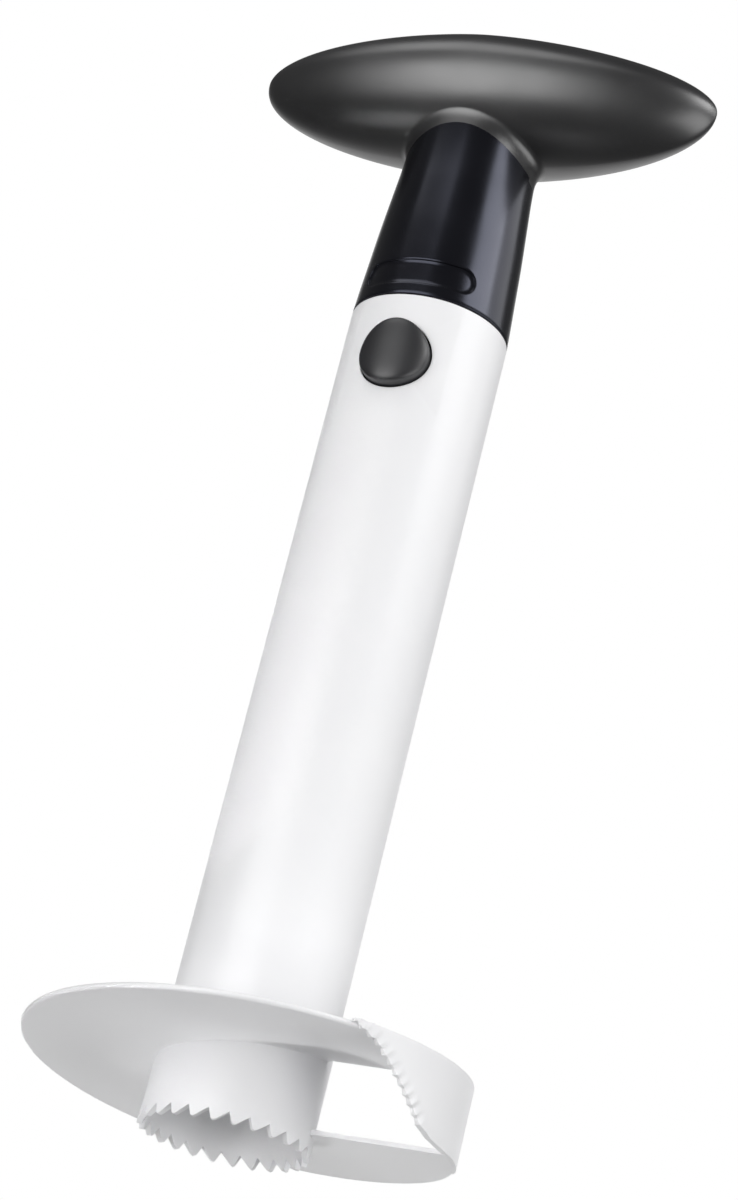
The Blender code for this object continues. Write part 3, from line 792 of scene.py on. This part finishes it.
def flare_points(co):
    """Start, corner and end of the flare at a place's azimuth, as (radius, height)."""
    azimuth = math.atan2(co.y, co.x)
    across, deep = math.cos(azimuth), math.sin(azimuth)
    corner_r = neck_radius(NECK_FOOT + FLARE_LEVEL * NECK_LENGTH)
    corner = grip_underside(corner_r * across, corner_r * deep)
    nearby = corner_r + PROBE
    slope = math.atan2(grip_underside(nearby * across, nearby * deep) - corner, PROBE)
    run = FLARE * math.tan((math.pi / 2 - slope) / 2)
    end_r = corner_r + FLARE_REACH * run * math.cos(slope)
    end = grip_underside(end_r * across, end_r * deep)
    start = corner - (FLARE + run) / 2
    return (neck_radius(start), start), (corner_r, corner), (end_r, end)


def up_the_neck(share):
    """Places at a share of the way from the grid's upper rim to the flare's start."""
    def place(co):
        (_, start), _, _ = flare_points(co)
        height = FLARE_START + (start - FLARE_START) * share
        return polar(co, neck_radius(height), height)
    return place


def round_the_flare(share):
    """Places at a share of the way along the flare, which bends round its corner."""
    def place(co):
        start, corner, end = flare_points(co)
        weights = ((1 - share) ** 2, 2 * share * (1 - share), share ** 2)
        radius = sum(w * p[0] for w, p in zip(weights, (start, corner, end)))
        height = sum(w * p[1] for w, p in zip(weights, (start, corner, end)))
        return polar(co, radius, height)
    return place


def at(radius, height):
    """Places on one level ring."""
    return lambda co: polar(co, radius, height)


for spot, word in ((Vector((0, -1, 0)), "in front"), (Vector((1, 0, 0)), "at the side")):
    print("the flare starts", word, "at a height of", round(flare_points(spot)[0][1], 4))

# %% [markdown]
# The neck's wall is laid flat for its oblong recess, which is half a millimetre deep and has
# a soft edge. The recess is drawn in ring by ring down to a line, so its floor has no pole.
# The sheet is then rolled up, and each row gets the outline's radius at its height.

# %% Neck's wall
NECK_COLUMNS = 192
NECK_FLAT_R = 0.0164     # radius that the flat wall's width is worked out from
FOOT_ROUNDING = 0.0003
RECESS_MIDDLE = 0.1859
RECESS_RUN = 0.0102      # half the length of its straight edges
RECESS_PATCH = 0.0041    # half height of the patch that is drawn in
RECESS_COLUMNS = 26      # half of that patch's columns
# The recess's rings, as (distance from its middle line, depth)
RECESS_RINGS = (
    (0.00335, 0), (0.00305, 0), (0.0029, 0.00006), (0.00282, 0.0002), (0.00276, 0.0004),
    (0.0026, 0.0005), (0.0018, 0.0005), (0.0009, 0.0005), (0, 0.0005),
)

half_turn = math.pi * NECK_FLAT_R
step = 2 * half_turn / NECK_COLUMNS
low, high = RECESS_MIDDLE - RECESS_PATCH, RECESS_MIDDLE + RECESS_PATCH
rows = even(NECK_FOOT + FOOT_ROUNDING, low, 2)[:-1] + even(low, high, 18)
rows += even(high, FLARE_START, 24)[1:]
bm = sheet(even(-half_turn, half_turn, NECK_COLUMNS), rows)
left, right = -half_turn / 2 - RECESS_COLUMNS * step, -half_turn / 2 + RECESS_COLUMNS * step
draw_in(
    bm, (-half_turn / 2, RECESS_MIDDLE), (left, right, low, high), RECESS_RUN, RECESS_RINGS,
)
for vert in bm.verts:
    azimuth, height = vert.co.x / NECK_FLAT_R, vert.co.y
    radius = neck_radius(height) + vert.co.z
    vert.co = (radius * math.cos(azimuth), radius * math.sin(azimuth), height)
bmesh.ops.remove_doubles(bm, verts=bm.verts, dist=WELD)
print("the neck's wall has", len(bm.faces), "faces")

# %% [markdown]
# Both rims are then walked on until they meet out of sight in the grip: the upper one up to
# the grip and round the flare, the lower one into the bore. The flare is a lip of the soft
# skin that runs down over the neck, so its faces take that finish.

# %% Glossy neck
NECK_BORE_R = 0.0148
NECK_BORE_DEPTH = 0.004
HIDDEN_TOP = (0.0120, 0.2315)    # radius and height where both rims meet
LIP_OVERLAP = 0.0004     # how far the soft lip runs down below the flare

upper = rim_of(bm, lambda co: co.z > FLARE_START - WELD)
lower = rim_of(bm, lambda co: co.z < NECK_FOOT + FOOT_ROUNDING + WELD)
walk(
    bm, upper,
    [up_the_neck(s) for s in even(0, 1, 8)[1:]]
    + [round_the_flare(s) for s in even(0, 1, 10)[1:]] + [at(*HIDDEN_TOP)],
)
walk(bm, lower, [
    at(TUBE_R - FOOT_ROUNDING / 3, NECK_FOOT + FOOT_ROUNDING / 3),
    at(TUBE_R - FOOT_ROUNDING, NECK_FOOT), at(NECK_BORE_R, NECK_FOOT),
    at(NECK_BORE_R, NECK_FOOT + NECK_BORE_DEPTH), at(*HIDDEN_TOP),
])
for face in bm.faces:
    middle = face.calc_center_median()
    (_, start), _, _ = flare_points(middle)
    if middle.z > start - LIP_OVERLAP:
        face.material_index = 1
neck = finish_piece("glossy_neck", bm, gloss_abs, "handle", "gloss_black", "neck")
neck.data.materials.append(soft_tpe)

# %% [markdown]
# ## Buttons and cap
# Each button is a turned cup that stands proud of the tube. Its face is bent about the
# tube's direction, and a round edge runs along it. The cap is turned too. It closes the
# plug, and it is what shows when one looks up the bore.

# %% Buttons and cap
TURNED_STEPS = 96
BUTTON_R = 0.0074
BUTTON_REACH = 0.0200
BUTTON_DOME = 0.0015     # depth of the round edge
DOME_POWER = 4           # above 2 the dome has a flatter middle
BUTTON_FALL = 0.0023     # fall of the face from its middle to its sides
# The rear of the cup, as (radius, depth from the face)
BUTTON_BACK = (
    (BUTTON_R, 0.0117), (0.0092, 0.0117), (0.0092, 0.0133), (0.0058, 0.0133),
    (0.0058, 0.0036), (0.0028, 0.0036), (0.0028, 0.0066), (0, 0.0066),
)
# The cap, as (radius, height)
CAP_OUTLINE = (
    (0, 0.1500), (0.0123, 0.1500), (0.0123, 0.1470), (0.0144, 0.1470), (PLUG_R, 0.1468),
    (PLUG_R, 0.1462), (0.0143, 0.1456), (0.0138, 0.1451), (0.0132, 0.1450), (0, 0.1450),
)


def push_button(side):
    """A turned button whose face follows the tube; side is -1 in front and 1 behind."""
    dome = []
    for turn in even(0, math.pi / 2, 20):
        share = math.sin(turn)
        depth = BUTTON_DOME * (1 - (1 - share ** DOME_POWER) ** (1 / DOME_POWER))
        dome.append((BUTTON_R * share, depth))
    bm = spun((*dome, *BUTTON_BACK), TURNED_STEPS)
    for vert in bm.verts:
        x, z, depth = vert.co
        if depth < BUTTON_DOME + WELD:
            depth += BUTTON_FALL * (x / BUTTON_R) ** 2
        vert.co = (x, side * (BUTTON_REACH - depth), BUTTON_HEIGHT + z)
    return bm


for side, word in ((-1, "front"), (1, "rear")):
    finish_piece(
        f"push_button_{word}", push_button(side), satin_abs, f"{word}_button",
        "button_grey", f"button_{word}",
    )
finish_piece(
    "plug_end_cap", spun(CAP_OUTLINE, TURNED_STEPS), nylon, "handle", "core_plastic",
    "plug_cap",
)

# %% [markdown]
# ## The springs
# A coil spring behind each button leans on the cap's plate and pushes the button out again.
# A small round section is spun six turns while it climbs, which makes a closed wire without
# any curve. The share of its length that each coil keeps when its button is pressed in is worked
# out.

# %% Springs
SPRING_R = 0.0036        # mean radius of the coil
WIRE_R = 0.0003
SPRING_TURNS = 6
TURN_STEPS = 32
SPRING_FOOT = 0.00105    # fixed end, off the tool's axis
SPRING_REACH = 0.0161    # end that leans on the button


def coil_spring(side):
    """A closed helical wire along the button's axis; side is -1 in front and 1 behind."""
    bm = bmesh.new()
    bmesh.ops.create_circle(bm, cap_ends=True, segments=12, radius=WIRE_R)
    stand = Matrix.Translation((SPRING_R, 0, SPRING_FOOT + WIRE_R))
    stand = stand @ Matrix.Rotation(math.pi / 2, 4, "X")
    bmesh.ops.transform(bm, matrix=stand, verts=bm.verts)
    steps = SPRING_TURNS * TURN_STEPS
    climb = SPRING_REACH - SPRING_FOOT - 2 * WIRE_R
    bmesh.ops.spin(
        bm, geom=bm.verts[:] + bm.edges[:] + bm.faces[:], cent=(0, 0, 0), axis=(0, 0, 1),
        dvec=(0, 0, climb / steps), angle=2 * math.pi * SPRING_TURNS, steps=steps,
    )
    for vert in bm.verts:
        x, z, reach = vert.co
        vert.co = (x, side * reach, BUTTON_HEIGHT + z)
    return bm


press_range = {j["name"]: j["range_m"][1] for j in frame["record"]["behaviour"]["joints"]}
for side, word in ((-1, "front"), (1, "rear")):
    spring = finish_piece(
        f"coil_spring_{word}", coil_spring(side), steel, "handle", "steel", f"spring_{word}",
    )
    left = 1 - press_range[f"{word}_press"] / (SPRING_REACH - SPRING_FOOT)
    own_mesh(spring)
    print(f"coil_spring_{word} keeps {left:.3f} of its length")

# %% [markdown]
# ## The hidden hardware
# The core and the screw with its washer stay as the CAD has them. They only need their
# finishes.

# %% Finishes of the CAD nodes
for name, material in (
    ("grip_core", nylon), ("handle_screw", steel), ("screw_washer", steel),
):
    slots = frame["nodes"][name].data.materials
    slots.clear()
    slots.append(material)
    print(name, "is finished in", material.name)

# %% [markdown]
# ## The lamps
# Large softboxes stand round the tool, as in a product studio: a key in front, one above
# it, two strips that draw the long highlights on the black handle, and a wide one at the
# right. Two small lamps with a grid in front light the disc's underside alone. Each lamp is
# given by where it stands and by its radiance, because that is what a surface mirrors.

# %% Lamps
MIDDLE = 0.12            # height that the large lamps point at
WHITE_END = 0.005        # height of the disc, for the gridded lamps


def point_toward(azimuth, elevation):
    """The direction at an azimuth and elevation in degrees."""
    a, e = math.radians(azimuth), math.radians(elevation)
    return Vector((math.cos(a) * math.cos(e), math.sin(a) * math.cos(e), math.sin(e)))


def softbox(name, azimuth, elevation, distance, width, height, radiance, aim=MIDDLE, grid=None):
    """A rectangular lamp of a given radiance that faces the tool.

    A grid in front of it narrows its beam to an angle in degrees. The energy is lowered to
    match, because Blender keeps the energy of a lamp when its beam gets narrower."""
    lamp = bpy.data.lights.new(name, "AREA")
    lamp.shape = "RECTANGLE"
    lamp.size = width
    lamp.size_y = height
    lamp.energy = radiance * math.pi * width * height
    if grid:
        half = math.radians(grid / 2)
        lamp.spread = 2 * half
        lamp.energy *= 1 - half / math.tan(half)
    box = bpy.data.objects.new(name, lamp)
    toward = point_toward(azimuth, elevation)
    box.matrix_world = Matrix.Translation(Vector((0, 0, aim)) + toward * distance) @ (
        toward.to_track_quat("Z", "Y").to_matrix().to_4x4()
    )
    bpy.context.scene.collection.objects.link(box)


softbox("key_box", -106, -3, 1.1, 1.0, 1.0, 3.1)
softbox("key_top_box", -120, 56, 1.0, 0.8, 0.5, 1.8)
softbox("side_strip", -9, 36, 1.0, 0.62, 0.40, 4.8)
softbox("side_end_strip", 28, 34, 1.0, 0.60, 0.40, 1.6)
softbox("side_box", 0, -14, 1.1, 1.3, 0.8, 2.0)
softbox("low_left_grid", -165, -52, 1.0, 0.20, 0.20, 110, WHITE_END, 11)
softbox("low_right_grid", -50, -32, 1.0, 0.20, 0.20, 18, WHITE_END, 12)
print("lamps:", len(bpy.data.lights))

# %% [markdown]
# ## The world
# The photograph has a plain white ground. The world is white for the camera, through clear
# things, and in mirrored rays toward the backdrop, which is behind the tool. For all other
# rays it is the dim fill of a room, so the white ground adds no light to the tool.

# %% World
FILL = 0.10
WHITE = hex_colour("#FFFFFF")
BACKDROP_TOWARD = (112, 0)       # azimuth and elevation of the backdrop's middle
BACKDROP_EDGE = 0.75     # cosine at which the mirrored backdrop begins
BACKDROP_FULL = 0.95

world = bpy.data.worlds.new("studio")
bpy.context.scene.world = world
world.use_nodes = True
tree = world.node_tree
tree.nodes.clear()
ray = add_node(tree, "ShaderNodeLightPath").outputs
direction = add_node(tree, "ShaderNodeTexCoord").outputs["Generated"]
nearness = add_node(
    tree, "ShaderNodeVectorMath",
    {"operation": "DOT_PRODUCT", 1: point_toward(*BACKDROP_TOWARD)}, {0: direction},
)
backdrop = add_node(
    tree, "ShaderNodeMapRange",
    {"interpolation_type": "SMOOTHSTEP", "From Min": BACKDROP_EDGE, "From Max": BACKDROP_FULL},
    {"Value": nearness.outputs["Value"]},
)
mirrored = add_node(
    tree, "ShaderNodeMath", {"operation": "MULTIPLY"},
    {0: ray["Is Glossy Ray"], 1: backdrop.outputs["Result"]},
)
direct = add_node(
    tree, "ShaderNodeMath", {"operation": "MAXIMUM"},
    {0: ray["Is Camera Ray"], 1: ray["Is Transmission Ray"]},
)
seen = add_node(
    tree, "ShaderNodeMath", {"operation": "MAXIMUM"},
    {0: direct.outputs["Value"], 1: mirrored.outputs["Value"]},
)
fill = add_node(tree, "ShaderNodeBackground", {"Color": WHITE, "Strength": FILL})
white = add_node(tree, "ShaderNodeBackground", {"Color": WHITE, "Strength": 1.0})
choice = add_node(
    tree, "ShaderNodeMixShader", links={
        "Fac": seen.outputs["Value"], 1: fill.outputs["Background"],
        2: white.outputs["Background"],
    },
)
add_node(tree, "ShaderNodeOutputWorld", links={"Surface": choice.outputs["Shader"]})
print("world fill:", FILL)

# %% [markdown]
# ## The floor
# The photograph looks up from below the floor, so the sheet of paper that the tool stands
# on is clear from underneath. From above it glows a little by itself, which keeps it evenly
# pale, and its matt part takes the tool's shadow. Far out it fades to the white world, as
# a paper sweep does.

# %% Floor
FLOOR_R = 3.0
PAPER_GLOW = 0.60
PAPER_MATT = "#808080"   # colour of the part that takes the light and the shadow
SWEEP_START = 0.40       # distance from the tool where the fade to white begins
SWEEP_END = 1.05         # it is white where the key lamp's plane cuts the floor

bm = bmesh.new()
bmesh.ops.create_circle(bm, cap_ends=True, segments=96, radius=FLOOR_R)
mesh = bpy.data.meshes.new("floor")
bm.to_mesh(mesh)
bm.free()
floor = bpy.data.objects.new("floor", mesh)
bpy.context.scene.collection.objects.link(floor)
floor.visible_diffuse = False
floor.visible_glossy = False
floor.visible_transmission = False
floor.visible_shadow = False
print("floor radius:", FLOOR_R)

# %% [markdown]
# The paper's nodes work from the near to the far. A glow and a matt part are added up, a
# plain white takes over with distance, and the face's side chooses between this and clear.

# %% Paper
paper = bpy.data.materials.new("pale_paper")
paper.use_nodes = True
tree = paper.node_tree
tree.nodes.clear()
glow = add_node(tree, "ShaderNodeEmission", {"Color": WHITE, "Strength": PAPER_GLOW})
matt = add_node(tree, "ShaderNodeBsdfDiffuse", {"Color": hex_colour(PAPER_MATT)})
near = add_node(
    tree, "ShaderNodeAddShader", links={0: glow.outputs["Emission"], 1: matt.outputs["BSDF"]},
)
place = add_node(tree, "ShaderNodeTexCoord").outputs["Object"]
distance = add_node(
    tree, "ShaderNodeVectorMath", {"operation": "LENGTH"}, {"Vector": place},
)
far = add_node(
    tree, "ShaderNodeMapRange",
    {"interpolation_type": "SMOOTHSTEP", "From Min": SWEEP_START, "From Max": SWEEP_END},
    {"Value": distance.outputs["Value"]},
)
sweep = add_node(tree, "ShaderNodeEmission", {"Color": WHITE, "Strength": 1.0})
above = add_node(
    tree, "ShaderNodeMixShader", links={
        "Fac": far.outputs["Result"], 1: near.outputs["Shader"], 2: sweep.outputs["Emission"],
    },
)
face_side = add_node(tree, "ShaderNodeNewGeometry")
clear = add_node(tree, "ShaderNodeBsdfTransparent")
both = add_node(
    tree, "ShaderNodeMixShader", links={
        "Fac": face_side.outputs["Backfacing"], 1: above.outputs["Shader"],
        2: clear.outputs["BSDF"],
    },
)
add_node(tree, "ShaderNodeOutputMaterial", links={"Surface": both.outputs["Shader"]})
floor.data.materials.append(paper)
print("the paper is white from", SWEEP_END, "m on")

# %% [markdown]
# ## The view transform
# The view transform shows colours as they are written.

# %% View transform
bpy.context.scene.view_settings.view_transform = "Standard"
